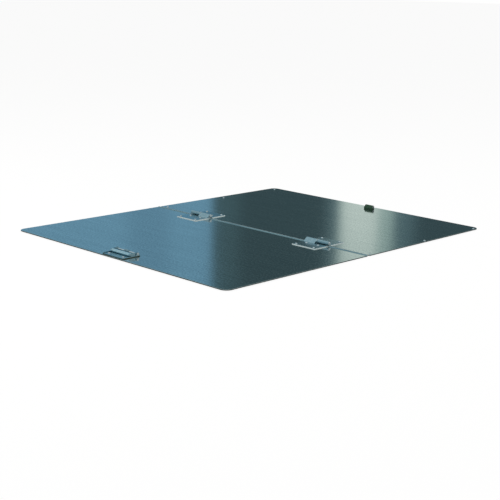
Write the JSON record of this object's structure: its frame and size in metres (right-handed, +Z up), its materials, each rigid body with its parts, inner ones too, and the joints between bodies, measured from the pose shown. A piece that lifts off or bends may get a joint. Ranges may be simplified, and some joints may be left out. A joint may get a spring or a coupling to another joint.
{
  "type": "deck hatch",
  "caption": "Flat two-leaf hatch cover: the front leaf lifts by a sprung folding handle and folds back on surface hinges over the screwed-down rear leaf.",
  "frame": {"origin": "middle of the underside, on the deck", "axes": "+X along the seam between the leaves, +Y from the lifting leaf towards the fixed leaf, +Z up"},
  "size_m": [1, 1.266, 0.0221],
  "materials": {
    "seam_lip_steel": "polished",
    "leaf_sheet": "satin",
    "seam_bar_steel": "satin",
    "seal_rubber": "matt",
    "fastener_steel": "polished",
    "hinge_steel": "satin",
    "pin_steel": "polished",
    "handle_steel": "bright zinc",
    "grip_steel": "polished",
    "spring_steel": "bright",
    "buffer_rubber": "matt",
    "liner_steel": "bright"
  },
  "bodies": {
    "fixed_leaf": {"rear_leaf": "leaf_sheet", "seam_bar": "seam_bar_steel", "rear_edge_seal": "seal_rubber", "rear_left_seal": "seal_rubber", "rear_right_seal": "seal_rubber", "fixing_screws": "fastener_steel", "hinge_left_rear_plate": "hinge_steel", "hinge_right_rear_plate": "hinge_steel", "hinge_left_pin": "pin_steel", "hinge_right_pin": "pin_steel", "hinge_left_washer": "pin_steel", "hinge_right_washer": "pin_steel", "rear_hinge_screws": "fastener_steel", "rear_hinge_nuts": "fastener_steel", "buffer_block": "buffer_rubber", "buffer_liner": "liner_steel", "buffer_screws": "fastener_steel"},
    "lifting_leaf": {"front_leaf": "leaf_sheet", "seam_lip": "seam_lip_steel", "front_edge_seal": "seal_rubber", "front_left_seal": "seal_rubber", "front_right_seal": "seal_rubber", "hinge_left_front_plate": "hinge_steel", "hinge_right_front_plate": "hinge_steel", "front_hinge_screws": "fastener_steel", "front_hinge_nuts": "fastener_steel", "handle_base": "handle_steel", "handle_screws": "fastener_steel", "handle_nuts": "fastener_steel", "handle_spring": "spring_steel"},
    "bail": {"handle_bail": "handle_steel", "handle_rod": "pin_steel", "handle_grip": "grip_steel"}
  },
  "joints": [
    {"name": "leaf_fold", "type": "hinge", "parent": "fixed_leaf", "child": "lifting_leaf", "pos_m": [0.008, 0, 0.0145], "axis": [-1, 0, 0], "range_deg": [0, 175]},
    {"name": "bail_lift", "type": "hinge", "parent": "lifting_leaf", "child": "bail", "pos_m": [-0.003, -0.569, 0.0139], "axis": [-1, 0, 0], "range_deg": [0, 90], "stiffness_Nm_per_rad": 0.06, "springref_deg": -45.84}
  ]
}
